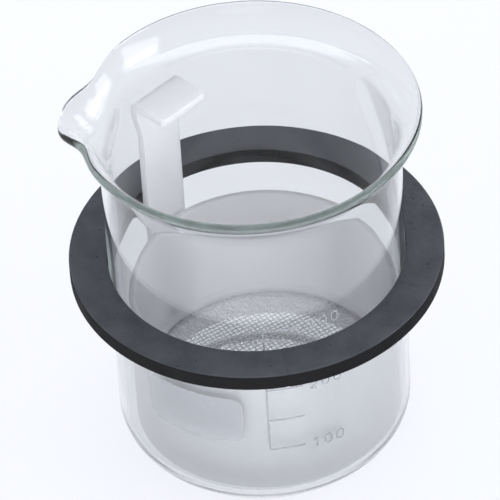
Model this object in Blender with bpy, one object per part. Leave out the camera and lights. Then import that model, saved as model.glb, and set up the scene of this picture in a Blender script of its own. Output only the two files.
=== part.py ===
"""Insert beaker set for an ultrasonic cleaning bath.

A low-form glass beaker hangs in the bath's cover by a flat rubber positioning ring. A plastic
basket with a sieve bottom stands in the beaker and lifts out by its handle. The origin is the
centre of the beaker's foot, +Z is up and the spout points along -X. Lengths are in metres.
"""

import math

import bmesh
import bpy
from mathutils import Vector

MM = 0.001

# Gap between pieces that touch, and the facets round a turned piece.
GAP = 0.3 * MM
BEAKER_SEGMENTS = 96
TURNED_SEGMENTS = 72

# Beaker: 400 ml low form, 80 mm across and 110 mm high.
BEAKER_R = 40.0 * MM
BEAKER_H = 110.0 * MM
WALL = 1.5 * MM
FLOOR = 2.0 * MM
HEEL_R = 11.0 * MM
FOOT_HOLLOW_R = 23.0 * MM
FOOT_HOLLOW_H = 0.6 * MM
RIM_R = 45.8 * MM
BEAD_R = 1.15 * MM
FLARE_START_Z = 97.0 * MM
FLARE_TILT = math.radians(50)
FLARE_ROWS = 7

# Spout: how far it reaches, how low its lip hangs and where its channel leaves the wall.
SPOUT_AZIMUTH = math.pi
SPOUT_REACH = 50.5 * MM
SPOUT_DROP = 4.5 * MM
SPOUT_START_Z = 84.0 * MM
SPOUT_TILT = math.radians(65)
SPOUT_HALF_WIDTH = math.radians(12.7)
SPOUT_SQUARENESS = 3.4
SPOUT_DIP_WIDTH = math.radians(18.5)
NECK_DEPTH = 0.7 * MM
NECK_AT = math.radians(22)
NECK_WIDTH = math.radians(8)

# Positioning ring: a flat annulus whose hole grips the beaker's wall.
RING_R = 50.4 * MM
RING_T = 4.7 * MM
RING_UNDER_Z = 56.8 * MM
RING_CHAMFER = 0.5 * MM
RING_HOLE_CHAMFER = 0.25 * MM

# The basket stands off the beaker's axis, away from its handle, so its foot rests on the inner heel.
BASKET_OFFSET = 1.5 * MM

# Basket cup: a tube with a ledge that the sieve is clamped against.
CUP_R = 36.0 * MM
CUP_WALL = 1.8 * MM
CUP_FOOT_Z = 7.4 * MM
CUP_TOP_Z = 51.0 * MM
CUP_FOOT_CHAMFER = 0.8 * MM
CUP_LIP_ROUND = 0.5 * MM
LEDGE_R = 33.0 * MM
LEDGE_UNDER_Z = 16.3 * MM
LEDGE_T = 1.1 * MM

# Sieve and the ring that clamps it from below.
SIEVE_T = 0.8 * MM
CLAMP_WALL = 1.8 * MM
CLAMP_FOOT_Z = 8.6 * MM
CLAMP_CHAMFER = 0.4 * MM

# Handle: a strip up the outside of the cup, bent over at the top into a flat tab.
HANDLE_FOOT_Z = 14.0 * MM
HANDLE_R = 37.25 * MM
HANDLE_AZIMUTH = math.radians(141.5)
HANDLE_HALF_WIDTH = 6.8 * MM
HANDLE_T = 1.9 * MM
TAB_R = 37.5 * MM
TAB_HALF_WIDTH = 7.9 * MM
TAB_T = 2.3 * MM
TAB_TOP_Z = 97.5 * MM
TAB_END_R = 25.8 * MM
TAB_BEND_R = 2.0 * MM
TAB_CORNER_R = 1.2 * MM
TAB_WIDENS_FROM_Z = 84.0 * MM
HANDLE_COLUMNS = 6
EDGE_ROUND = 0.35 * MM


def clear_scene():
    for old in list(bpy.data.objects):
        bpy.data.objects.remove(old, do_unlink=True)


def material(name, colour, roughness, metallic=0.0, alpha=1.0):
    made = bpy.data.materials.new(name)
    made.use_nodes = True
    shader = made.node_tree.nodes["Principled BSDF"]
    shader.inputs["Base Color"].default_value = (*colour, 1.0)
    shader.inputs["Roughness"].default_value = roughness
    shader.inputs["Metallic"].default_value = metallic
    shader.inputs["Alpha"].default_value = alpha
    return made


def smoothstep(t):
    t = min(max(t, 0.0), 1.0)
    return t * t * (3 - 2 * t)


def mix(a, b, share):
    return a + (b - a) * share


def arc(centre, radius, start, end, steps):
    """Points (radius, height) along an arc, with its angles in degrees from the +radius direction."""
    points = []
    for i in range(steps + 1):
        angle = math.radians(mix(start, end, i / steps))
        points.append(
            Vector((centre[0] + radius * math.cos(angle), centre[1] + radius * math.sin(angle)))
        )
    return points


def add_object(name, bm, finish, location=(0, 0, 0), parent=None):
    bmesh.ops.recalc_face_normals(bm, faces=bm.faces)
    mesh = bpy.data.meshes.new(name)
    bm.to_mesh(mesh)
    bm.free()
    mesh.shade_smooth()
    mesh.set_sharp_from_angle(angle=math.radians(40))
    mesh.materials.append(finish)
    placed = bpy.data.objects.new(name, mesh)
    placed.location = location
    placed.parent = parent
    bpy.context.scene.collection.objects.link(placed)
    return placed


def turned(profile, segments, closed):
    """Spins a profile of (radius, height) points about Z. Each vertex keeps its place in the profile."""
    bm = bmesh.new()
    row = bm.verts.layers.int.new("row")
    line = []
    for i, (radius, height) in enumerate(profile):
        vert = bm.verts.new((radius, 0, height))
        vert[row] = i
        line.append(vert)
    edges = [bm.edges.new(pair) for pair in zip(line, line[1:])]
    if closed:
        edges.append(bm.edges.new((line[-1], line[0])))
    bmesh.ops.spin(
        bm,
        geom=line + edges,
        cent=(0, 0, 0),
        axis=(0, 0, 1),
        angle=2 * math.pi,
        steps=segments,
        use_merge=True,
    )
    bmesh.ops.remove_doubles(bm, verts=bm.verts, dist=0.001 * MM)
    return bm


def wall_line(start_z, rim_centre, tilt):
    """Outer and inner points of the beaker's top, from where it leaves the straight wall to its bead."""
    start = Vector((BEAKER_R - WALL / 2, start_z))
    lean = Vector((math.sin(tilt), math.cos(tilt)))
    rise = rim_centre.y - start.y
    out_handle = start + Vector((0, 0.45 * rise))
    in_handle = rim_centre - lean * (0.35 * rise)
    outer = []
    inner = []
    for i in range(FLARE_ROWS + 1):
        t = i / FLARE_ROWS
        u = 1 - t
        point = (
            start * u**3 + out_handle * (3 * u * u * t) + in_handle * (3 * u * t * t) + rim_centre * t**3
        )
        along = (
            (out_handle - start) * (u * u) + (in_handle - out_handle) * (2 * u * t) + (rim_centre - in_handle) * (t * t)
        ).normalized()
        across = Vector((along.y, -along.x))
        half = mix(WALL / 2, BEAD_R, t**5)
        outer.append(point + across * half)
        inner.append(point - across * half)
    facing = math.degrees(math.atan2(-lean.x, lean.y))
    bead = arc(rim_centre, BEAD_R, facing, facing + 180, 5)[1:-1]
    return outer + bead + inner[::-1]


def beaker_profile(start_z, rim_centre, tilt):
    """The beaker's section, from the centre of its foot round the rim to the centre of its floor."""
    heel = Vector((BEAKER_R - HEEL_R, HEEL_R))
    inner_heel_r = HEEL_R - WALL
    inner_heel = Vector((BEAKER_R - HEEL_R, FLOOR + inner_heel_r))
    hollow = []
    for i in range(4):
        share = i / 3
        hollow.append(Vector((FOOT_HOLLOW_R * share, FOOT_HOLLOW_H * (1 - share * share) ** 2)))
    outside = hollow + arc(heel, HEEL_R, -90, 0, 5)
    inside = arc(inner_heel, inner_heel_r, 0, -90, 5) + [Vector((0, FLOOR))]
    top = wall_line(start_z, rim_centre, tilt)
    return outside + top + inside, len(outside), len(outside) + len(top)


def pull_spout(bm, plain, pulled, first, last):
    """Moves the top of the wall from the plain section towards the spout's, by its angle from the spout."""
    row = bm.verts.layers.int["row"]
    for vert in bm.verts:
        i = vert[row]
        if not first <= i < last:
            continue
        azimuth = math.atan2(vert.co.y, vert.co.x)
        off = abs(math.remainder(azimuth - SPOUT_AZIMUTH, 2 * math.pi))
        out = math.exp(-((off / SPOUT_HALF_WIDTH) ** SPOUT_SQUARENESS))
        down = math.exp(-((off / SPOUT_DIP_WIDTH) ** 2))
        neck = NECK_DEPTH * math.exp(-(((off - NECK_AT) / NECK_WIDTH) ** 2))
        share_up = smoothstep((plain[i].y - FLARE_START_Z) / (BEAKER_H - FLARE_START_Z))
        radius = mix(plain[i].x, pulled[i].x, out) - neck * share_up
        height = mix(plain[i].y, pulled[i].y, down)
        vert.co = (radius * math.cos(azimuth), radius * math.sin(azimuth), height)


def build_beaker():
    finish = material("borosilicate_glass", (0.86, 0.89, 0.91), 0.03, alpha=0.3)
    rim_centre = Vector((RIM_R - BEAD_R, BEAKER_H - BEAD_R))
    lip_centre = Vector((SPOUT_REACH - BEAD_R, BEAKER_H - SPOUT_DROP - BEAD_R))
    plain, first, last = beaker_profile(FLARE_START_Z, rim_centre, FLARE_TILT)
    pulled, _, _ = beaker_profile(SPOUT_START_Z, lip_centre, SPOUT_TILT)
    bm = turned(plain, BEAKER_SEGMENTS, closed=False)
    pull_spout(bm, plain, pulled, first, last)
    return add_object("glass_beaker", bm, finish)


def build_positioning_ring():
    finish = material("black_rubber", (0.09, 0.095, 0.105), 0.75)
    hole_r = BEAKER_R + GAP
    profile = [
        (RING_R, RING_CHAMFER),
        (RING_R, RING_T - RING_CHAMFER),
        (RING_R - RING_CHAMFER, RING_T),
        (hole_r + RING_HOLE_CHAMFER, RING_T),
        (hole_r, RING_T - RING_HOLE_CHAMFER),
        (hole_r, RING_HOLE_CHAMFER),
        (hole_r + RING_HOLE_CHAMFER, 0),
        (RING_R - RING_CHAMFER, 0),
    ]
    bm = turned(profile, TURNED_SEGMENTS, closed=True)
    return add_object("positioning_ring", bm, finish, (0, 0, RING_UNDER_Z))


def build_basket_cup(finish, lift):
    inner_r = CUP_R - CUP_WALL
    top = CUP_TOP_Z - CUP_FOOT_Z
    ledge_under = LEDGE_UNDER_Z - CUP_FOOT_Z
    profile = [
        (CUP_R - CUP_FOOT_CHAMFER, 0),
        (CUP_R, CUP_FOOT_CHAMFER),
        (CUP_R, top - CUP_LIP_ROUND),
        (CUP_R - CUP_LIP_ROUND, top),
        (inner_r + CUP_LIP_ROUND, top),
        (inner_r, top - CUP_LIP_ROUND),
        (inner_r, ledge_under + LEDGE_T + (inner_r - LEDGE_R)),
        (LEDGE_R, ledge_under + LEDGE_T),
        (LEDGE_R, ledge_under),
        (inner_r, ledge_under),
        (inner_r, 0),
    ]
    bm = turned(profile, TURNED_SEGMENTS, closed=True)
    return add_object("basket_cup", bm, finish, parent=lift)


def build_sieve(lift):
    finish = material("sieve_monofilament", (0.86, 0.87, 0.88), 0.4)
    bm = bmesh.new()
    sieve_r = CUP_R - CUP_WALL - GAP
    bmesh.ops.create_cone(
        bm,
        cap_ends=True,
        segments=TURNED_SEGMENTS,
        radius1=sieve_r,
        radius2=sieve_r,
        depth=SIEVE_T,
    )
    centre_z = LEDGE_UNDER_Z - GAP - SIEVE_T / 2 - CUP_FOOT_Z
    return add_object("sieve_mesh", bm, finish, (0, 0, centre_z), lift)


def build_clamp_ring(finish, lift):
    outer_r = CUP_R - CUP_WALL - GAP
    inner_r = outer_r - CLAMP_WALL
    height = LEDGE_UNDER_Z - SIEVE_T - 2 * GAP - CLAMP_FOOT_Z
    profile = [
        (outer_r - CLAMP_CHAMFER, 0),
        (outer_r, CLAMP_CHAMFER),
        (outer_r, height),
        (inner_r, height),
        (inner_r, 0),
    ]
    bm = turned(profile, TURNED_SEGMENTS, closed=True)
    return add_object("sieve_clamp_ring", bm, finish, (0, 0, CLAMP_FOOT_Z - CUP_FOOT_Z), lift)


def handle_row(share, inward, height, half_width):
    """One row of points across the handle. share goes from the curved strip (0) to the flat tab (1)."""
    outward = Vector((math.cos(HANDLE_AZIMUTH), math.sin(HANDLE_AZIMUTH), 0))
    along = Vector((-outward.y, outward.x, 0))
    points = []
    for column in range(HANDLE_COLUMNS + 1):
        offset = half_width * (2 * column / HANDLE_COLUMNS - 1)
        turn = offset / HANDLE_R
        curved = outward * (HANDLE_R * math.cos(turn)) + along * (HANDLE_R * math.sin(turn))
        flat = outward * TAB_R + along * offset
        point = curved.lerp(flat, share) - outward * inward
        points.append(point + Vector((0, 0, height)))
    return points


def handle_rows():
    """Rows up the strip, round the bend and along the tab, and how thick the handle is at each."""
    bend_z = TAB_TOP_Z - TAB_T / 2 - TAB_BEND_R
    rows = []
    for height in (HANDLE_FOOT_Z, mix(HANDLE_FOOT_Z, TAB_WIDENS_FROM_Z, 0.5)):
        rows.append((handle_row(0, 0, height, HANDLE_HALF_WIDTH), HANDLE_T))
    widening_steps = 5
    for i in range(widening_steps + 1):
        share = smoothstep(i / widening_steps)
        height = mix(TAB_WIDENS_FROM_Z, bend_z, i / widening_steps)
        half_width = mix(HANDLE_HALF_WIDTH, TAB_HALF_WIDTH, share)
        rows.append((handle_row(share, 0, height, half_width), mix(HANDLE_T, TAB_T, share)))
    bend_steps = 4
    for i in range(1, bend_steps + 1):
        angle = math.pi / 2 * i / bend_steps
        inward = TAB_BEND_R * (1 - math.cos(angle))
        height = bend_z + TAB_BEND_R * math.sin(angle)
        rows.append((handle_row(1, inward, height, TAB_HALF_WIDTH), TAB_T))
    end = TAB_R - TAB_END_R
    corner_steps = 3
    for i in range(corner_steps + 1):
        angle = math.pi / 2 * i / corner_steps
        inward = end - TAB_CORNER_R * (1 - math.sin(angle))
        half_width = TAB_HALF_WIDTH - TAB_CORNER_R * (1 - math.cos(angle))
        rows.append((handle_row(1, inward, bend_z + TAB_BEND_R, half_width), TAB_T))
    return rows


def build_handle(finish, lift):
    rows = handle_rows()
    bm = bmesh.new()
    lower = None
    for points, _ in rows:
        verts = [bm.verts.new(point - Vector((0, 0, CUP_FOOT_Z))) for point in points]
        edges = [bm.edges.new(pair) for pair in zip(verts, verts[1:])]
        if lower:
            bmesh.ops.bridge_loops(bm, edges=lower + edges)
        lower = edges
    thickness_of = {}
    for index, vert in enumerate(bm.verts):
        thickness_of[index] = rows[index // (HANDLE_COLUMNS + 1)][1] / TAB_T
    handle = add_object("basket_handle", bm, finish, parent=lift)
    group = handle.vertex_groups.new(name="thickness")
    for index, share in thickness_of.items():
        group.add([index], share, "REPLACE")
    solid = handle.modifiers.new("thickness", "SOLIDIFY")
    solid.thickness = TAB_T
    solid.offset = 0
    solid.use_even_offset = True
    solid.vertex_group = "thickness"
    rounded = handle.modifiers.new("rounded_edges", "BEVEL")
    rounded.width = EDGE_ROUND
    rounded.segments = 2
    rounded.limit_method = "ANGLE"
    rounded.angle_limit = math.radians(50)
    return handle


def build_basket():
    lift = bpy.data.objects.new("basket_lift", None)
    lift.location = (
        -BASKET_OFFSET * math.cos(HANDLE_AZIMUTH),
        -BASKET_OFFSET * math.sin(HANDLE_AZIMUTH),
        CUP_FOOT_Z,
    )
    bpy.context.scene.collection.objects.link(lift)
    plastic = material("natural_polypropylene", (0.84, 0.85, 0.86), 0.45)
    build_basket_cup(plastic, lift)
    build_sieve(lift)
    build_clamp_ring(plastic, lift)
    build_handle(plastic, lift)


clear_scene()
build_beaker()
build_positioning_ring()
build_basket()
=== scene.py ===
"""Looks of an insert beaker set: glass beaker, rubber positioning ring and plastic sieve basket.

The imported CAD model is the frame. Every piece here repeats the frame's sizes at a finer grain and rides
on its body. Lengths are in metres, the origin is the centre of the beaker's foot, +Z is up and the spout
points along -X.
"""

import math
import random

import bmesh
import bpy
from mathutils import Matrix, Vector, noise


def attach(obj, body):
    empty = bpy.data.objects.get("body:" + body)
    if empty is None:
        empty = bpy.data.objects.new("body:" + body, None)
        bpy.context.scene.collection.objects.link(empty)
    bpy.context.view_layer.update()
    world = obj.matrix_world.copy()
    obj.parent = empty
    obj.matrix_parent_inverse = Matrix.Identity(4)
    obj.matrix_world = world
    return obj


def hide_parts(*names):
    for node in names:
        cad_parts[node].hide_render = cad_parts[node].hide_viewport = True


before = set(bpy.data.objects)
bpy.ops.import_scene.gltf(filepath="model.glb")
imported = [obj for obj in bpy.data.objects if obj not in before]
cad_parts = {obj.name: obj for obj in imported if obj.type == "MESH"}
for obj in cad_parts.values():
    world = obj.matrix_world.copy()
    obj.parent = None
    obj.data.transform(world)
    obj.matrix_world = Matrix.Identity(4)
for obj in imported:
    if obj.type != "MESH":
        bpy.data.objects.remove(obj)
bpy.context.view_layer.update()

MM = 0.001
GAP = 0.3 * MM

# Beaker, as in the frame.
BEAKER_R = 40.0 * MM
BEAKER_H = 110.0 * MM
WALL = 1.5 * MM
FLOOR = 2.0 * MM
HEEL_R = 11.0 * MM
FOOT_HOLLOW_R = 23.0 * MM
FOOT_HOLLOW_H = 0.6 * MM
RIM_R = 45.8 * MM
BEAD_R = 1.15 * MM
FLARE_START_Z = 97.0 * MM
FLARE_TILT = math.radians(50)
SPOUT_REACH = 50.5 * MM
SPOUT_DROP = 4.5 * MM
SPOUT_START_Z = 84.0 * MM
SPOUT_TILT = math.radians(65)
SPOUT_HALF_WIDTH = math.radians(12.7)
SPOUT_SQUARENESS = 3.4
SPOUT_DIP_WIDTH = math.radians(18.5)
NECK_DEPTH = 0.7 * MM
NECK_AT = math.radians(22)
NECK_WIDTH = math.radians(8)

# How finely the beaker is drawn, and how uneven its blown wall is.
BEAKER_SEGMENTS = 288
FLARE_ROWS = 26
HEEL_ROWS = 14
BEAD_ROWS = 12
WALL_ROWS = 40
HOLLOW_ROWS = 12
FLOOR_ROWS = 8
WALL_WAVE = 0.05 * MM
WAVE_HEIGHT = 32 * MM
WAVES_ROUND = 3.2

# Print on the wall: where it starts round the beaker, and the heights of its marks.
PRINT_LIFT = 0.02 * MM
PRINT_T = 0.04 * MM
STROKE = 0.55 * MM
SCALE_AZIMUTH = math.radians(-81.5)
TICK_SPAN = math.radians(14)
NUMBER_AZIMUTH = math.radians(-64.5)
SCALE_MARKS = {100: 24.8 * MM, 150: 35.5 * MM, 200: 46.5 * MM, 250: 57.0 * MM, 300: 68.0 * MM}
NUMBERED = (100, 200, 300)
DIGIT_H = 3.7 * MM
DIGIT_W = 2.4 * MM
DIGIT_PITCH = 3.5 * MM
FIELD_FROM = math.radians(-132)
FIELD_TO = math.radians(-91)
FIELD_LOW = 27.5 * MM
FIELD_HIGH = 43.2 * MM
FIELD_CORNER = 3.0 * MM
FIELD_COLUMNS = 40
FIELD_CORNER_ROWS = 8
TICK_STEPS = 8

# Positioning ring.
RING_R = 50.4 * MM
RING_T = 4.7 * MM
RING_UNDER_Z = 56.8 * MM
RING_EDGE = 0.5 * MM
RING_HOLE_EDGE = 0.25 * MM
RING_GRIP_GAP = 0.09 * MM
RING_SEGMENTS = 720
ROUGHNESS_DEPTH = 0.05 * MM
ROUGHNESS_SIZE = 1.4 * MM
PIT_COUNT = 150
SEAM_AZIMUTH = math.radians(-75)
SEAM_WIDTH = 0.45 * MM
SEAM_DEPTH = 0.16 * MM
CHIP_AZIMUTH = math.radians(-27)
CHIP_WIDTH = 0.9 * MM
CHIP_DEPTH = 0.35 * MM

# Basket: its axis, its foot, and its cup.
BASKET_OFFSET = 1.5 * MM
HANDLE_AZIMUTH = math.radians(141.5)
BASKET_AXIS = Vector((-math.cos(HANDLE_AZIMUTH), -math.sin(HANDLE_AZIMUTH), 0)) * BASKET_OFFSET
CUP_R = 36.0 * MM
CUP_WALL = 1.8 * MM
CUP_FOOT_Z = 7.4 * MM
CUP_TOP_Z = 51.0 * MM
CUP_FOOT_EDGE = 0.8 * MM
CUP_LIP_ROUND = 0.5 * MM
LEDGE_R = 33.0 * MM
LEDGE_UNDER_Z = 16.3 * MM
LEDGE_T = 1.1 * MM
TURNED_SEGMENTS = 240

# Sieve and the ring that clamps it.
SIEVE_T = 0.8 * MM
WIRE_PITCH = 1.3 * MM
WIRE_R = 0.17 * MM
WIRE_SIDES = 5
WIRE_STEPS_PER_PITCH = 3
WEAVE_TURN = math.radians(37)
CLAMP_WALL = 1.8 * MM
CLAMP_FOOT_Z = 8.6 * MM
CLAMP_EDGE = 0.4 * MM

# Handle: a strip with a bent tab on top.
HANDLE_FOOT_Z = 14.0 * MM
HANDLE_R = 37.25 * MM
HANDLE_HALF_WIDTH = 6.8 * MM
HANDLE_T = 1.9 * MM
TAB_R = 37.5 * MM
TAB_HALF_WIDTH = 7.9 * MM
TAB_T = 2.3 * MM
TAB_TOP_Z = 97.5 * MM
TAB_END_R = 25.8 * MM
TAB_BEND_R = 2.0 * MM
TAB_CORNER_R = 1.2 * MM
TAB_WIDENS_FROM_Z = 84.0 * MM
HANDLE_COLUMNS = 14
EDGE_ROUND = 0.35 * MM

# Camera, looking down at the beaker from the front and a little to the right of it.
CAMERA_AT = Vector((0.15337, -1.09124, 1.07093))
CAMERA_HEADING = math.radians(8.09)
CAMERA_PITCH = 0.742
CAMERA_ROLL = -0.0629
CAMERA_LENS = 401.6
CAMERA_SENSOR = 36.0

# Light table: brighter in front, with a painted contact shadow in a ring under the heel, and brighter under
# the sieve.
TABLE_R = 4.0
TABLE_GLOW = 0.80
FRONT_GLOW = 2.6
FRONT_FROM_Y = -55 * MM
FRONT_TO_Y = -160 * MM
HEEL_SHADE = 0.3
HEEL_SHADE_R = 29.0 * MM
HEEL_SHADE_HALF_WIDTH = 2.0 * MM
HEEL_SHADE_SOFTNESS = 2.0 * MM
UNDER_GLOW = 1.7
UNDER_GLOW_R = 24.0 * MM
UNDER_GLOW_SOFTNESS = 1.5 * MM

# Sky: bright up to the first height and dim from the second on, with soft boxes in it. Each soft box has
# its azimuth, elevation, half width, half height and softness in degrees, and its brightness.
LIGHT_COLOUR = (0.965, 0.985, 1.04)
SKY_LOW = 1.06
SKY_HIGH = 0.12
SKY_TURN = (math.radians(35), math.radians(75))
SOFT_BOXES = (
    (-9, 13, 13, 14, 2.5, 3.4),
    (32, 13, 7, 14, 2.5, 3.4),
    (94, 80, 8, 38, 3, 1.0),
)

# Light has to pass along the wall many times to reach the rim's bead.
GLASS_BOUNCES = 64
OTHER_BOUNCES = 16


# ---------------------------------------------------------------- small helpers


def smoothstep(t):
    t = min(max(t, 0.0), 1.0)
    return t * t * (3 - 2 * t)


def mix(a, b, share):
    return a + (b - a) * share


def arc(centre, radius, start, end, steps):
    """Points (radius, height) along an arc, with its angles in degrees from the +radius direction."""
    points = []
    for i in range(steps + 1):
        angle = math.radians(mix(start, end, i / steps))
        across = centre[0] + radius * math.cos(angle)
        up = centre[1] + radius * math.sin(angle)
        points.append(Vector((across, up)))
    return points


def line(start, end, steps):
    """Points between start and end, both left out."""
    start = Vector(start)
    end = Vector(end)
    return [start.lerp(end, i / steps) for i in range(1, steps)]


def lathe(profile, segments, closed):
    """Turns a profile of (radius, height) points about Z.

    The layer "row" of the vertices says which point of the profile each comes from.
    """
    bm = bmesh.new()
    row = bm.verts.layers.int.new("row")
    rings = []
    for i, (radius, height) in enumerate(profile):
        on_axis = radius < 1e-7
        ring = []
        for k in range(1 if on_axis else segments):
            angle = 2 * math.pi * k / segments
            vert = bm.verts.new((radius * math.cos(angle), radius * math.sin(angle), height))
            vert[row] = i
            ring.append(vert)
        rings.append(ring * segments if on_axis else ring)
    pairs = list(zip(rings, rings[1:]))
    if closed:
        pairs.append((rings[-1], rings[0]))
    for lower, upper in pairs:
        for k in range(segments):
            j = (k + 1) % segments
            corners = [lower[k], lower[j], upper[j], upper[k]]
            bm.faces.new(list(dict.fromkeys(corners)))
    bmesh.ops.recalc_face_normals(bm, faces=bm.faces)
    return bm


def add_piece(name, bm, look, body, at=(0, 0, 0), sharp=40):
    """Makes a piece of a bmesh that is in place apart from at, and lets it ride on its body."""
    mesh = bpy.data.meshes.new(name)
    bm.to_mesh(mesh)
    bm.free()
    mesh.transform(Matrix.Translation(at))
    mesh.shade_smooth()
    mesh.set_sharp_from_angle(angle=math.radians(sharp))
    mesh.materials.append(look)
    piece = bpy.data.objects.new(name, mesh)
    bpy.context.scene.collection.objects.link(piece)
    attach(piece, body)
    return piece


# ---------------------------------------------------------------- materials


class Look:
    """A Principled material, with short ways to drive it by procedural textures."""

    def __init__(self, name, **constants):
        self.material = bpy.data.materials.new(name)
        self.material.use_nodes = True
        self.tree = self.material.node_tree
        self.shader = self.tree.nodes["Principled BSDF"]
        for socket, value in constants.items():
            self.shader.inputs[socket.replace("_", " ")].default_value = value
        self.place = self.new("ShaderNodeTexCoord").outputs["Object"]

    def new(self, kind, inputs=(), **settings):
        made = self.tree.nodes.new(kind)
        for key, value in settings.items():
            setattr(made, key, value)
        for key, value in dict(inputs).items():
            if isinstance(value, bpy.types.NodeSocket):
                self.tree.links.new(value, made.inputs[key])
            else:
                made.inputs[key].default_value = value
        return made

    def stretched(self, stretch):
        return self.new("ShaderNodeMapping", {"Vector": self.place, "Scale": stretch}).outputs[0]

    def noise(self, size, detail=4.0, rough=0.55, stretch=(1, 1, 1)):
        """Cloudy noise whose patches are about size across."""
        inputs = {"Vector": self.stretched(stretch), "Scale": 1 / size, "Detail": detail, "Roughness": rough}
        return self.new("ShaderNodeTexNoise", inputs).outputs["Fac"]

    def specks(self, size, share):
        """1 in small round specks that cover about that share of the surface, and 0 between them."""
        cells = self.new("ShaderNodeTexVoronoi", {"Vector": self.place, "Scale": 1 / size})
        return self.range(cells.outputs["Distance"], share, share * 0.55, 0, 1)

    def range(self, value, from_low, from_high, low, high):
        names = ("Value", "From Min", "From Max", "To Min", "To Max")
        inputs = dict(zip(names, (value, from_low, from_high, low, high)))
        return self.new("ShaderNodeMapRange", inputs).outputs[0]

    def maths(self, operation, a, b):
        return self.new("ShaderNodeMath", {0: a, 1: b}, operation=operation).outputs[0]

    def blend(self, share, first, second):
        made = self.new("ShaderNodeMix", {0: share}, data_type="RGBA")
        for index, value in ((6, first), (7, second)):
            if isinstance(value, bpy.types.NodeSocket):
                self.tree.links.new(value, made.inputs[index])
            else:
                made.inputs[index].default_value = (*value, 1)
        return made.outputs[2]

    def facing_up(self):
        """1 on faces that look up or down, 0 on upright ones."""
        normal = self.new("ShaderNodeNewGeometry").outputs["Normal"]
        height = self.new("ShaderNodeSeparateXYZ", {0: normal}).outputs["Z"]
        return self.range(self.maths("ABSOLUTE", height, 0), 0.5, 0.9, 0, 1)

    def drive(self, socket, value):
        self.tree.links.new(value, self.shader.inputs[socket])

    def bump(self, height, depth):
        made = self.new("ShaderNodeBump", {"Height": height, "Strength": 1.0, "Distance": depth})
        self.drive("Normal", made.outputs[0])

    def absorb(self, colour, density):
        inside = self.new("ShaderNodeVolumeAbsorption", {"Color": (*colour, 1), "Density": density})
        output = self.tree.nodes["Material Output"]
        self.tree.links.new(inside.outputs[0], output.inputs["Volume"])


def glass_look():
    look = Look("clear_borosilicate", IOR=1.473, Transmission_Weight=1.0)
    smears = look.noise(14 * MM, detail=5, stretch=(1, 1, 0.4))
    look.drive("Base Color", look.blend(smears, (0.81, 0.817, 0.829), (0.835, 0.842, 0.853)))
    look.drive("Roughness", look.range(smears, 0.6, 0.85, 0.0, 0.02))
    look.absorb((0.80, 0.835, 0.82), 26.0)
    return look.material


def enamel_look(name, colour, alpha):
    look = Look(name, Roughness=0.5, Alpha=alpha)
    worn = look.noise(1.6 * MM, detail=6, rough=0.7)
    look.drive("Base Color", look.blend(worn, colour, [c * 0.86 for c in colour]))
    look.drive("Roughness", look.range(worn, 0.3, 0.7, 0.4, 0.6))
    look.bump(look.noise(0.5 * MM), 0.02 * MM)
    return look.material


def rubber_look():
    look = Look("black_rubber", IOR=1.5, Specular_IOR_Level=0.08)
    clouds = look.noise(9 * MM, detail=6, rough=0.62)
    grain = look.noise(0.5 * MM, detail=3, rough=0.7)
    bloom_and_top_light = look.blend(look.range(clouds, 0.32, 0.68, 0, 1), (0.078, 0.083, 0.092), (0.118, 0.124, 0.135))
    bloom_and_top_light = look.blend(look.range(grain, 0.45, 0.75, 0, 0.5), bloom_and_top_light, (0.125, 0.132, 0.146))
    bloom_and_top_light = look.blend(look.specks(4.2 * MM, 0.07), bloom_and_top_light, (0.020, 0.021, 0.024))
    # Painted shade: upright faces get a near-black copy of the rubber colour, and the top faces get the
    # lighter, lit one, which also carries real mottling, grain and specks.
    side = look.blend(clouds, (0.003, 0.003, 0.0035), (0.007, 0.007, 0.008))
    look.drive("Base Color", look.blend(look.facing_up(), side, bloom_and_top_light))
    look.drive("Roughness", look.range(clouds, 0.3, 0.7, 0.55, 0.78))
    look.bump(look.maths("ADD", grain, look.noise(2.2 * MM, detail=4)), 0.09 * MM)
    return look.material


def plastic_look():
    """Natural polypropylene: white and milky, with light that spreads a few millimetres inside it."""
    look = Look(
        "natural_polypropylene",
        IOR=1.49,
        Subsurface_Weight=1.0,
        Subsurface_Scale=3.0 * MM,
        Subsurface_Radius=(1.0, 1.0, 1.0),
    )
    clouds = look.noise(11 * MM, detail=5)
    grain = look.noise(0.7 * MM, detail=3)
    look.drive("Base Color", look.blend(clouds, (0.965, 0.96, 0.965), (0.985, 0.982, 0.985)))
    look.drive("Roughness", look.range(clouds, 0.3, 0.7, 0.30, 0.42))
    look.bump(grain, 0.008 * MM)
    return look.material


def sieve_look():
    look = Look("sieve_monofilament", IOR=1.5, Transmission_Weight=0.15)
    clouds = look.noise(6 * MM, detail=5)
    look.drive("Base Color", look.blend(clouds, (0.94, 0.945, 0.955), (0.98, 0.98, 0.985)))
    look.drive("Roughness", look.range(clouds, 0.3, 0.7, 0.22, 0.4))
    look.bump(look.noise(0.3 * MM), 0.01 * MM)
    return look.material


# ---------------------------------------------------------------- beaker


def wall_line(start_z, rim_centre, tilt):
    """The beaker's top: up its outer face from the straight wall, round the bead and down its inner face."""
    start = Vector((BEAKER_R - WALL / 2, start_z))
    lean = Vector((math.sin(tilt), math.cos(tilt)))
    rise = rim_centre.y - start.y
    out_handle = start + Vector((0, 0.45 * rise))
    in_handle = rim_centre - lean * (0.35 * rise)
    outer = []
    inner = []
    for i in range(FLARE_ROWS + 1):
        t = i / FLARE_ROWS
        u = 1 - t
        point = start * u**3 + out_handle * (3 * u * u * t) + in_handle * (3 * u * t * t) + rim_centre * t**3
        along = (out_handle - start) * (u * u) + (in_handle - out_handle) * (2 * u * t)
        along = (along + (rim_centre - in_handle) * (t * t)).normalized()
        across = Vector((along.y, -along.x))
        half = mix(WALL / 2, BEAD_R, t**5)
        outer.append(point + across * half)
        inner.append(point - across * half)
    facing = math.degrees(math.atan2(-lean.x, lean.y))
    bead = arc(rim_centre, BEAD_R, facing, facing + 180, BEAD_ROWS)[1:-1]
    return outer + bead + inner[::-1]


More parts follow.
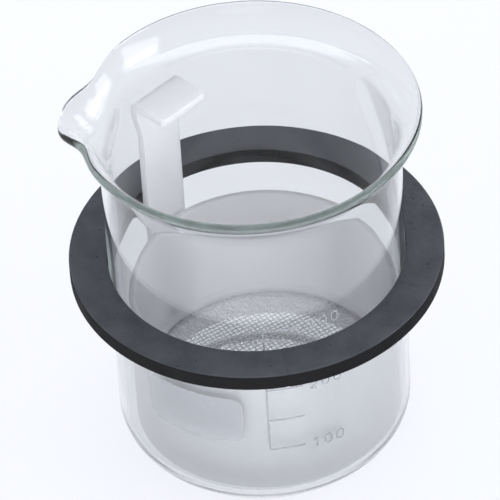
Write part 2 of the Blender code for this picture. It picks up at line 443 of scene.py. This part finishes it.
def beaker_profile(start_z, rim_centre, tilt):
    """The beaker's section, from the centre of its foot round the rim to the centre of its floor."""
    heel = Vector((BEAKER_R - HEEL_R, HEEL_R))
    inner_heel_r = HEEL_R - WALL
    inner_heel = Vector((BEAKER_R - HEEL_R, FLOOR + inner_heel_r))
    hollow = []
    for i in range(HOLLOW_ROWS):
        share = i / (HOLLOW_ROWS - 1)
        hollow.append(Vector((FOOT_HOLLOW_R * share, FOOT_HOLLOW_H * (1 - share * share) ** 2)))
    outside = hollow + arc(heel, HEEL_R, -90, 0, HEEL_ROWS)
    top = wall_line(start_z, rim_centre, tilt)
    outside += line(outside[-1], top[0], WALL_ROWS)
    inside = arc(inner_heel, inner_heel_r, 0, -90, HEEL_ROWS)
    inside += line(inside[-1], (0, FLOOR), FLOOR_ROWS) + [Vector((0, FLOOR))]
    down = line(top[-1], inside[0], WALL_ROWS)
    first = len(outside) - WALL_ROWS + 1
    last = len(outside) + len(top) + WALL_ROWS - 1
    return outside + top + down + inside, first, last


def pull_spout(bm, plain, pulled, first, last):
    """Moves the wall's top from the plain section towards the spout's, by its angle from the spout."""
    row = bm.verts.layers.int["row"]
    for vert in bm.verts:
        i = vert[row]
        if not first <= i < last:
            continue
        azimuth = math.atan2(vert.co.y, vert.co.x)
        off = abs(math.remainder(azimuth - math.pi, 2 * math.pi))
        out = math.exp(-((off / SPOUT_HALF_WIDTH) ** SPOUT_SQUARENESS))
        down = math.exp(-((off / SPOUT_DIP_WIDTH) ** 2))
        neck = NECK_DEPTH * math.exp(-(((off - NECK_AT) / NECK_WIDTH) ** 2))
        share_up = smoothstep((plain[i].y - FLARE_START_Z) / (BEAKER_H - FLARE_START_Z))
        radius = mix(plain[i].x, pulled[i].x, out) - neck * share_up
        height = mix(plain[i].y, pulled[i].y, down)
        vert.co = (radius * math.cos(azimuth), radius * math.sin(azimuth), height)


def wave_inner_wall(bm, first_inside):
    """Blown glass is a little thicker here and thinner there: the inner face of the wall waves."""
    row = bm.verts.layers.int["row"]
    for vert in bm.verts:
        if vert[row] < first_inside or not HEEL_R < vert.co.z < FLARE_START_Z:
            continue
        outward = Vector((vert.co.x, vert.co.y, 0)).normalized()
        spot = Vector((outward.x * WAVES_ROUND, outward.y * WAVES_ROUND, vert.co.z / WAVE_HEIGHT))
        fade_top = smoothstep((FLARE_START_Z - vert.co.z) / (10 * MM))
        fade_bottom = smoothstep((vert.co.z - HEEL_R) / (8 * MM))
        vert.co += outward * (noise.noise(spot) * WALL_WAVE * (fade_top * fade_bottom))


def build_beaker():
    rim_centre = Vector((RIM_R - BEAD_R, BEAKER_H - BEAD_R))
    lip_centre = Vector((SPOUT_REACH - BEAD_R, BEAKER_H - SPOUT_DROP - BEAD_R))
    plain, first, last = beaker_profile(FLARE_START_Z, rim_centre, FLARE_TILT)
    pulled, _, _ = beaker_profile(SPOUT_START_Z, lip_centre, SPOUT_TILT)
    bm = lathe(plain, BEAKER_SEGMENTS, closed=False)
    pull_spout(bm, plain, pulled, first, last)
    wave_inner_wall(bm, (first + last) // 2)
    piece = add_piece("glass_beaker_fine", bm, glass_look(), "beaker", sharp=60)
    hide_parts("glass_beaker")


# ---------------------------------------------------------------- print on the glass


def on_wall(azimuth, height, lift):
    radius = BEAKER_R + PRINT_LIFT + lift
    return Vector((radius * math.cos(azimuth), radius * math.sin(azimuth), height))


def add_strip(bm, left, right):
    """A closed thin band on the wall between two rows of (azimuth, height) points."""
    sections = []
    for a, b in zip(left, right):
        corners = [on_wall(*a, 0), on_wall(*b, 0), on_wall(*b, PRINT_T), on_wall(*a, PRINT_T)]
        sections.append([bm.verts.new(corner) for corner in corners])
    for lower, upper in zip(sections, sections[1:]):
        for k in range(4):
            j = (k + 1) % 4
            bm.faces.new((lower[k], lower[j], upper[j], upper[k]))
    bm.faces.new(sections[0][::-1])
    bm.faces.new(sections[-1])


def add_stroke(bm, azimuth, height, points):
    """A pen stroke through points (along, up) in metres, from a corner at azimuth and height."""
    left = []
    right = []
    for i, point in enumerate(points):
        ahead = points[min(i + 1, len(points) - 1)] - points[max(i - 1, 0)]
        side = Vector((-ahead.y, ahead.x)).normalized() * (STROKE / 2)
        for edge, offset in ((left, side), (right, -side)):
            spot = point + offset
            edge.append((azimuth + spot.x / BEAKER_R, height + spot.y))
    add_strip(bm, left, right)


def digit_strokes(digit):
    """The strokes of a plain digit, DIGIT_W wide and DIGIT_H high."""
    w = DIGIT_W - STROKE
    h = DIGIT_H - STROKE
    bowl = w / 2
    if digit == "1":
        stem = Vector((w * 0.6, 0)), Vector((w * 0.6, h))
        flag = Vector((w * 0.6, h)), Vector((w * 0.15, h * 0.78))
        return [[*stem], [*flag]]
    if digit == "2":
        top = arc((bowl, h - bowl), bowl, 165, -40, 14)
        return [top + [Vector((0, 0))], [Vector((0, 0)), Vector((w, 0))]]
    if digit == "3":
        small = h * 0.25
        upper = arc((w * 0.45, h - small), small, 150, -90, 12)
        lower = arc((w * 0.45, small * 1.05), small * 1.05, 90, -150, 12)
        return [upper, lower]
    sides = [arc((bowl, h - bowl), bowl, 0, 180, 12), arc((bowl, bowl), bowl, 180, 360, 12)]
    outline = sides[0] + sides[1]
    return [outline + outline[:2]]


def build_scale(look):
    """Scale line and ticks as one piece, and the numbers as another."""
    marks = bmesh.new()
    low = min(SCALE_MARKS.values())
    high = max(SCALE_MARKS.values())
    add_stroke(marks, SCALE_AZIMUTH, low, [Vector((0, 0)), Vector((0, high - low))])
    tick = TICK_SPAN * BEAKER_R
    tick_points = [Vector((tick * i / TICK_STEPS, 0)) for i in range(TICK_STEPS + 1)]
    for height in SCALE_MARKS.values():
        add_stroke(marks, SCALE_AZIMUTH, height, tick_points)
    add_piece("scale_marks", marks, look, "beaker")
    numbers = bmesh.new()
    for value in NUMBERED:
        for place, digit in enumerate(str(value)):
            azimuth = NUMBER_AZIMUTH + place * DIGIT_PITCH / BEAKER_R
            for points in digit_strokes(digit):
                add_stroke(numbers, azimuth, SCALE_MARKS[value] - DIGIT_H / 2, points)
    add_piece("scale_numbers", numbers, look, "beaker")


def build_marking_field(look):
    """The roughened field for pencil marks, with round corners."""
    bm = bmesh.new()
    rows = []
    for i in range(FIELD_CORNER_ROWS + 1):
        angle = math.pi / 2 * i / FIELD_CORNER_ROWS
        rows.append((FIELD_CORNER * (1 - math.sin(angle)), FIELD_CORNER * (1 - math.cos(angle))))
    heights = [(FIELD_LOW + up, inset) for inset, up in rows]
    heights += [(FIELD_HIGH - up, inset) for inset, up in rows[::-1]]
    for lift in (0, PRINT_T):
        grid = []
        for height, inset in heights:
            start = FIELD_FROM + inset / BEAKER_R
            end = FIELD_TO - inset / BEAKER_R
            shares = [column / FIELD_COLUMNS for column in range(FIELD_COLUMNS + 1)]
            spots = [on_wall(mix(start, end, share), height, lift) for share in shares]
            grid.append([bm.verts.new(spot) for spot in spots])
        for lower, upper in zip(grid, grid[1:]):
            for c in range(FIELD_COLUMNS):
                bm.faces.new((lower[c], lower[c + 1], upper[c + 1], upper[c]))
    edges = [edge for edge in bm.edges if edge.is_boundary]
    bmesh.ops.bridge_loops(bm, edges=edges)
    bmesh.ops.recalc_face_normals(bm, faces=bm.faces)
    add_piece("marking_field", bm, look, "beaker")


# ---------------------------------------------------------------- positioning ring


def ring_profile():
    hole_r = BEAKER_R + RING_GRIP_GAP
    corners = [
        (RING_R - RING_EDGE, RING_EDGE, RING_EDGE, -90, 5),
        (RING_R - RING_EDGE, RING_T - RING_EDGE, RING_EDGE, 0, 5),
        (hole_r + RING_HOLE_EDGE, RING_T - RING_HOLE_EDGE, RING_HOLE_EDGE, 90, 3),
        (hole_r + RING_HOLE_EDGE, RING_HOLE_EDGE, RING_HOLE_EDGE, 180, 3),
    ]
    rows_between = (8, 16, 5, 12)
    arcs = [arc((x, z), r, start, start + 90, steps) for x, z, r, start, steps in corners]
    profile = []
    for i, rows in enumerate(rows_between):
        profile += arcs[i] + line(arcs[i][-1], arcs[(i + 1) % 4][0], rows)
    return profile


def dent(offset, size, depth):
    """How deep a round dent is at an offset from its middle."""
    return depth * math.exp(-((offset / size) ** 2))


def wear_ring(bm):
    """Pits in the flat faces, a moulding seam and a chip, all cut into the rubber and never out of it."""
    rng = random.Random(7)
    pits = []
    for _ in range(PIT_COUNT):
        azimuth = rng.uniform(-math.pi, math.pi)
        radius = rng.uniform(BEAKER_R + 1.5 * MM, RING_R - 0.8 * MM)
        at = Vector((radius * math.cos(azimuth), radius * math.sin(azimuth), RING_T))
        pits.append((at, rng.uniform(0.3, 0.8) * MM, rng.uniform(0.06, 0.2) * MM))
    chip = Vector((math.cos(CHIP_AZIMUTH), math.sin(CHIP_AZIMUTH), 0)) * RING_R + Vector((0, 0, RING_T))
    hole_r = BEAKER_R + RING_GRIP_GAP + RING_HOLE_EDGE
    bm.normal_update()
    moves = []
    for vert in bm.verts:
        radius = math.hypot(vert.co.x, vert.co.y)
        if radius < hole_r:
            continue
        azimuth = math.atan2(vert.co.y, vert.co.x)
        depth = ROUGHNESS_DEPTH * (0.5 + 0.5 * noise.noise(vert.co / ROUGHNESS_SIZE))
        depth += dent((azimuth - SEAM_AZIMUTH) * radius, SEAM_WIDTH, SEAM_DEPTH)
        depth += dent((vert.co - chip).length, CHIP_WIDTH, CHIP_DEPTH)
        if vert.normal.z > 0.7:
            for at, size, deep in pits:
                if abs(vert.co.x - at.x) < 2 * size:
                    depth += dent((vert.co - at).length, size, deep)
        moves.append((vert, vert.normal * depth))
    for vert, move in moves:
        vert.co -= move


def build_ring():
    bm = lathe(ring_profile(), RING_SEGMENTS, closed=True)
    wear_ring(bm)
    at = (0, 0, RING_UNDER_Z)
    piece = add_piece("positioning_ring_fine", bm, rubber_look(), "ring", at)
    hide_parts("positioning_ring")


# ---------------------------------------------------------------- basket


def build_cup(look):
    inner_r = CUP_R - CUP_WALL
    round_r = CUP_LIP_ROUND
    slope_z = LEDGE_UNDER_Z + LEDGE_T + inner_r - LEDGE_R
    profile = [Vector((CUP_R - CUP_FOOT_EDGE, CUP_FOOT_Z))]
    profile += arc((CUP_R - CUP_FOOT_EDGE, CUP_FOOT_Z + CUP_FOOT_EDGE), CUP_FOOT_EDGE, -60, 0, 4)
    lip = arc((CUP_R - round_r, CUP_TOP_Z - round_r), round_r, 0, 90, 5)
    lip += arc((inner_r + round_r, CUP_TOP_Z - round_r), round_r, 90, 180, 5)
    profile += line(profile[-1], lip[0], 24) + lip
    profile += line(lip[-1], (inner_r, slope_z), 20)
    profile += [Vector((inner_r, slope_z)), Vector((LEDGE_R, LEDGE_UNDER_Z + LEDGE_T))]
    profile += [Vector((LEDGE_R, LEDGE_UNDER_Z)), Vector((inner_r, LEDGE_UNDER_Z))]
    profile += line(profile[-1], (inner_r, CUP_FOOT_Z), 6) + [Vector((inner_r, CUP_FOOT_Z))]
    bm = lathe(profile, TURNED_SEGMENTS, closed=True)
    piece = add_piece("basket_cup_fine", bm, look, "basket", BASKET_AXIS)
    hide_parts("basket_cup")


def build_clamp(look):
    outer_r = CUP_R - CUP_WALL - GAP
    inner_r = outer_r - CLAMP_WALL
    top = LEDGE_UNDER_Z - SIEVE_T - 2 * GAP
    profile = arc((outer_r - CLAMP_EDGE, CLAMP_FOOT_Z + CLAMP_EDGE), CLAMP_EDGE, -90, 0, 4)
    profile += [Vector((outer_r, top)), Vector((inner_r, top))]
    profile += arc((inner_r + CLAMP_EDGE, CLAMP_FOOT_Z + CLAMP_EDGE), CLAMP_EDGE, 180, 270, 4)
    bm = lathe(profile, TURNED_SEGMENTS, closed=True)
    piece = add_piece("sieve_clamp_ring_fine", bm, look, "basket", BASKET_AXIS)
    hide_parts("sieve_clamp_ring")


def add_wire(bm, start, end, across, phase, rng):
    """A round wire from start to end that goes over and under its neighbours every WIRE_PITCH."""
    length = (end - start).length
    steps = max(2, round(length / WIRE_PITCH * WIRE_STEPS_PER_PITCH))
    along = (end - start).normalized()
    up = Vector((0, 0, 1))
    drift = rng.uniform(-0.05, 0.05) * WIRE_PITCH
    rings = []
    for i in range(steps + 1):
        point = start.lerp(end, i / steps)
        travel = point.dot(along) / WIRE_PITCH + phase
        lift = WIRE_R * 1.02 * math.cos(math.pi * travel)
        point = point + up * lift + across * drift * math.sin(i / steps * math.pi)
        ring = []
        for k in range(WIRE_SIDES):
            angle = 2 * math.pi * k / WIRE_SIDES
            ring.append(bm.verts.new(point + (across * math.cos(angle) + up * math.sin(angle)) * WIRE_R))
        rings.append(ring)
    for lower, upper in zip(rings, rings[1:]):
        for k in range(WIRE_SIDES):
            j = (k + 1) % WIRE_SIDES
            bm.faces.new((lower[k], upper[k], upper[j], lower[j]))
    bm.faces.new(rings[0])
    bm.faces.new(rings[-1][::-1])


def build_sieve():
    """A plain weave of round wires, cut to the disc that the cup holds."""
    bm = bmesh.new()
    rng = random.Random(3)
    radius = CUP_R - CUP_WALL - GAP - WIRE_R
    count = int(radius / WIRE_PITCH)
    turn = Matrix.Rotation(WEAVE_TURN, 3, "Z")
    x_axis = Vector((1, 0, 0))
    y_axis = Vector((0, 1, 0))
    for along, across, shift in ((x_axis, y_axis, 0), (y_axis, x_axis, 1)):
        for i in range(-count, count + 1):
            offset = i * WIRE_PITCH
            half = math.sqrt(max(radius**2 - offset**2, 0))
            if half < WIRE_PITCH:
                continue
            start = turn @ (across * offset - along * half)
            end = turn @ (across * offset + along * half)
            add_wire(bm, start, end, turn @ across, i + shift, rng)
    bmesh.ops.recalc_face_normals(bm, faces=bm.faces)
    at = BASKET_AXIS + Vector((0, 0, LEDGE_UNDER_Z - GAP - SIEVE_T / 2))
    piece = add_piece("sieve_weave", bm, sieve_look(), "basket", at, sharp=80)
    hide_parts("sieve_mesh")


def handle_row(share, inward, height, half_width):
    """One row of points across the handle. share goes from the curved strip (0) to the flat tab (1)."""
    outward = Vector((math.cos(HANDLE_AZIMUTH), math.sin(HANDLE_AZIMUTH), 0))
    along = Vector((-outward.y, outward.x, 0))
    points = []
    for column in range(HANDLE_COLUMNS + 1):
        offset = half_width * (2 * column / HANDLE_COLUMNS - 1)
        turn = offset / HANDLE_R
        curved = outward * (HANDLE_R * math.cos(turn)) + along * (HANDLE_R * math.sin(turn))
        flat = outward * TAB_R + along * offset
        point = curved.lerp(flat, share) - outward * inward
        points.append(point + Vector((0, 0, height)))
    return points


def handle_rows():
    """Rows up the strip, round the bend and along the tab, and how thick the handle is at each."""
    bend_z = TAB_TOP_Z - TAB_T / 2 - TAB_BEND_R
    rows = []
    strip_steps = 20
    for i in range(strip_steps):
        height = mix(HANDLE_FOOT_Z, TAB_WIDENS_FROM_Z, i / strip_steps)
        rows.append((handle_row(0, 0, height, HANDLE_HALF_WIDTH), HANDLE_T))
    widening_steps = 12
    for i in range(widening_steps + 1):
        share = smoothstep(i / widening_steps)
        height = mix(TAB_WIDENS_FROM_Z, bend_z, i / widening_steps)
        half_width = mix(HANDLE_HALF_WIDTH, TAB_HALF_WIDTH, share)
        rows.append((handle_row(share, 0, height, half_width), mix(HANDLE_T, TAB_T, share)))
    bend_steps = 10
    for i in range(1, bend_steps + 1):
        angle = math.pi / 2 * i / bend_steps
        inward = TAB_BEND_R * (1 - math.cos(angle))
        height = bend_z + TAB_BEND_R * math.sin(angle)
        rows.append((handle_row(1, inward, height, TAB_HALF_WIDTH), TAB_T))
    end = TAB_R - TAB_END_R
    for share in (0.3, 0.6, 0.85):
        inward = mix(TAB_BEND_R, end - TAB_CORNER_R, share)
        rows.append((handle_row(1, inward, bend_z + TAB_BEND_R, TAB_HALF_WIDTH), TAB_T))
    corner_steps = 6
    for i in range(corner_steps + 1):
        angle = math.pi / 2 * i / corner_steps
        inward = end - TAB_CORNER_R * (1 - math.sin(angle))
        half_width = TAB_HALF_WIDTH - TAB_CORNER_R * (1 - math.cos(angle))
        rows.append((handle_row(1, inward, bend_z + TAB_BEND_R, half_width), TAB_T))
    return rows


def build_handle(look):
    rows = handle_rows()
    bm = bmesh.new()
    lower = None
    for points, _ in rows:
        verts = [bm.verts.new(point) for point in points]
        if lower:
            for k in range(HANDLE_COLUMNS):
                bm.faces.new((lower[k], lower[k + 1], verts[k + 1], verts[k]))
        lower = verts
    piece = add_piece("basket_handle_fine", bm, look, "basket", BASKET_AXIS)
    group = piece.vertex_groups.new(name="thickness")
    for index in range(len(piece.data.vertices)):
        group.add([index], rows[index // (HANDLE_COLUMNS + 1)][1] / TAB_T, "REPLACE")
    solid = piece.modifiers.new("thickness", "SOLIDIFY")
    solid.thickness = TAB_T
    solid.offset = 0
    solid.use_even_offset = True
    solid.vertex_group = "thickness"
    rounded = piece.modifiers.new("rounded_edges", "BEVEL")
    rounded.width = EDGE_ROUND
    rounded.segments = 4
    rounded.limit_method = "ANGLE"
    rounded.angle_limit = math.radians(50)
    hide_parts("basket_handle")


# ---------------------------------------------------------------- stage


def build_camera():
    data = bpy.data.cameras.new("camera")
    data.lens = CAMERA_LENS
    data.sensor_width = CAMERA_SENSOR
    camera = bpy.data.objects.new("camera", data)
    heading = Matrix.Rotation(CAMERA_HEADING, 4, "Z")
    pitch = Matrix.Rotation(math.pi / 2 - CAMERA_PITCH, 4, "X")
    roll = Matrix.Rotation(CAMERA_ROLL, 4, "Z")
    camera.matrix_world = Matrix.Translation(CAMERA_AT) @ heading @ pitch @ roll
    bpy.context.scene.collection.objects.link(camera)
    bpy.context.scene.camera = camera


def floor_look():
    """A light table whose glow varies with the place, as the table's values at the top say."""
    look = Look("light_table_floor", Roughness=0.9, Emission_Color=(*LIGHT_COLOUR, 1))
    reach = look.new("ShaderNodeVectorMath", {0: look.place}, operation="LENGTH").outputs["Value"]
    # Painted contact shadow: the glow drops to HEEL_SHADE in a soft ring under the beaker's heel.
    from_heel = look.maths("ABSOLUTE", look.maths("SUBTRACT", reach, HEEL_SHADE_R), 0)
    shade_end = HEEL_SHADE_HALF_WIDTH + HEEL_SHADE_SOFTNESS
    shade = look.range(from_heel, HEEL_SHADE_HALF_WIDTH, shade_end, HEEL_SHADE, 1)
    under_start = UNDER_GLOW_R - UNDER_GLOW_SOFTNESS
    under = look.range(reach, under_start, UNDER_GLOW_R + UNDER_GLOW_SOFTNESS, UNDER_GLOW, 1)
    share = look.maths("MULTIPLY", shade, under)
    depth = look.new("ShaderNodeSeparateXYZ", {0: look.place}).outputs["Y"]
    glow = look.range(depth, FRONT_TO_Y, FRONT_FROM_Y, TABLE_GLOW + FRONT_GLOW, TABLE_GLOW)
    look.drive("Emission Strength", look.maths("MULTIPLY", share, glow))
    look.drive("Base Color", look.blend(look.noise(60 * MM), (0.21, 0.21, 0.21), (0.23, 0.23, 0.23)))
    return look.material


def build_floor():
    bm = bmesh.new()
    bmesh.ops.create_circle(bm, cap_ends=True, segments=64, radius=TABLE_R)
    mesh = bpy.data.meshes.new("floor")
    bm.to_mesh(mesh)
    bm.free()
    mesh.materials.append(floor_look())
    floor = bpy.data.objects.new("floor", mesh)
    bpy.context.scene.collection.objects.link(floor)


def sky_maths(tree, operation, *values):
    """A maths node in the sky's tree. Each value is a socket to link or a number to set."""
    made = tree.nodes.new("ShaderNodeMath")
    made.operation = operation
    for socket, value in zip(made.inputs, values):
        if isinstance(value, bpy.types.NodeSocket):
            tree.links.new(value, socket)
        else:
            socket.default_value = value
    return made.outputs[0]


def sky_dot(tree, direction, axis):
    """How far the direction of the sky points along a fixed axis."""
    made = tree.nodes.new("ShaderNodeVectorMath")
    made.operation = "DOT_PRODUCT"
    tree.links.new(direction, made.inputs[0])
    made.inputs[1].default_value = axis
    return made.outputs["Value"]


def soft_edge(tree, value, half, softness):
    """1 where value lies within half of 0, and 0 outside it, with a soft edge."""
    edge = tree.nodes.new("ShaderNodeMapRange")
    edge.interpolation_type = "SMOOTHSTEP"
    tree.links.new(sky_maths(tree, "ABSOLUTE", value), edge.inputs["Value"])
    edge.inputs["From Min"].default_value = half + softness
    edge.inputs["From Max"].default_value = half - softness
    return edge.outputs[0]


def soft_box(tree, direction, azimuth, elevation, half_width, half_height, softness):
    """1 inside a soft-edged rectangle of sky, and 0 outside it. All sizes are angles in radians."""
    flat = Vector((math.cos(azimuth), math.sin(azimuth), 0))
    side = Vector((-math.sin(azimuth), math.cos(azimuth), 0))
    towards = flat * math.cos(elevation) + Vector((0, 0, math.sin(elevation)))
    up = towards.cross(side)
    share = sky_maths(tree, "GREATER_THAN", sky_dot(tree, direction, towards), 0.0)
    for axis, half in ((side, half_width), (up, half_height)):
        edge = soft_edge(tree, sky_dot(tree, direction, axis), math.sin(half), math.sin(softness))
        share = sky_maths(tree, "MULTIPLY", share, edge)
    return share


def build_world():
    """A pale bluish sky, bright low down and dim overhead, with soft boxes that the glass mirrors."""
    world = bpy.data.worlds.new("studio")
    bpy.context.scene.world = world
    world.use_nodes = True
    tree = world.node_tree
    direction = tree.nodes.new("ShaderNodeTexCoord").outputs["Generated"]
    height = tree.nodes.new("ShaderNodeSeparateXYZ")
    tree.links.new(direction, height.inputs[0])
    sky = tree.nodes.new("ShaderNodeMapRange")
    sky.interpolation_type = "SMOOTHSTEP"
    tree.links.new(height.outputs["Z"], sky.inputs["Value"])
    limits = (math.sin(SKY_TURN[0]), math.sin(SKY_TURN[1]), SKY_LOW, SKY_HIGH)
    for name, value in zip(("From Min", "From Max", "To Min", "To Max"), limits):
        sky.inputs[name].default_value = value
    total = sky.outputs[0]
    for *degrees, level in SOFT_BOXES:
        share = soft_box(tree, direction, *[math.radians(value) for value in degrees])
        total = sky_maths(tree, "MULTIPLY_ADD", share, level, total)
    background = tree.nodes["Background"]
    background.inputs["Color"].default_value = (*LIGHT_COLOUR, 1)
    tree.links.new(total, background.inputs["Strength"])


def set_view():
    scene = bpy.context.scene
    scene.view_settings.view_transform = "Standard"
    scene.cycles.use_denoising = True
    scene.cycles.max_bounces = GLASS_BOUNCES
    scene.cycles.diffuse_bounces = OTHER_BOUNCES
    scene.cycles.glossy_bounces = GLASS_BOUNCES
    scene.cycles.transmission_bounces = GLASS_BOUNCES
    scene.cycles.transparent_max_bounces = OTHER_BOUNCES


build_camera()
build_floor()
build_world()
set_view()
build_beaker()
# Both prints are white enamel; their grey colours are painted shade, for the shade they sit in against the
# lit cup behind them.
build_scale(enamel_look("white_enamel_painted_shade", (0.34, 0.35, 0.37), 0.5))
build_marking_field(enamel_look("marking_enamel_painted_shade", (0.44, 0.45, 0.47), 0.45))
build_ring()
plastic = plastic_look()
build_cup(plastic)
build_clamp(plastic)
build_handle(plastic)
build_sieve()
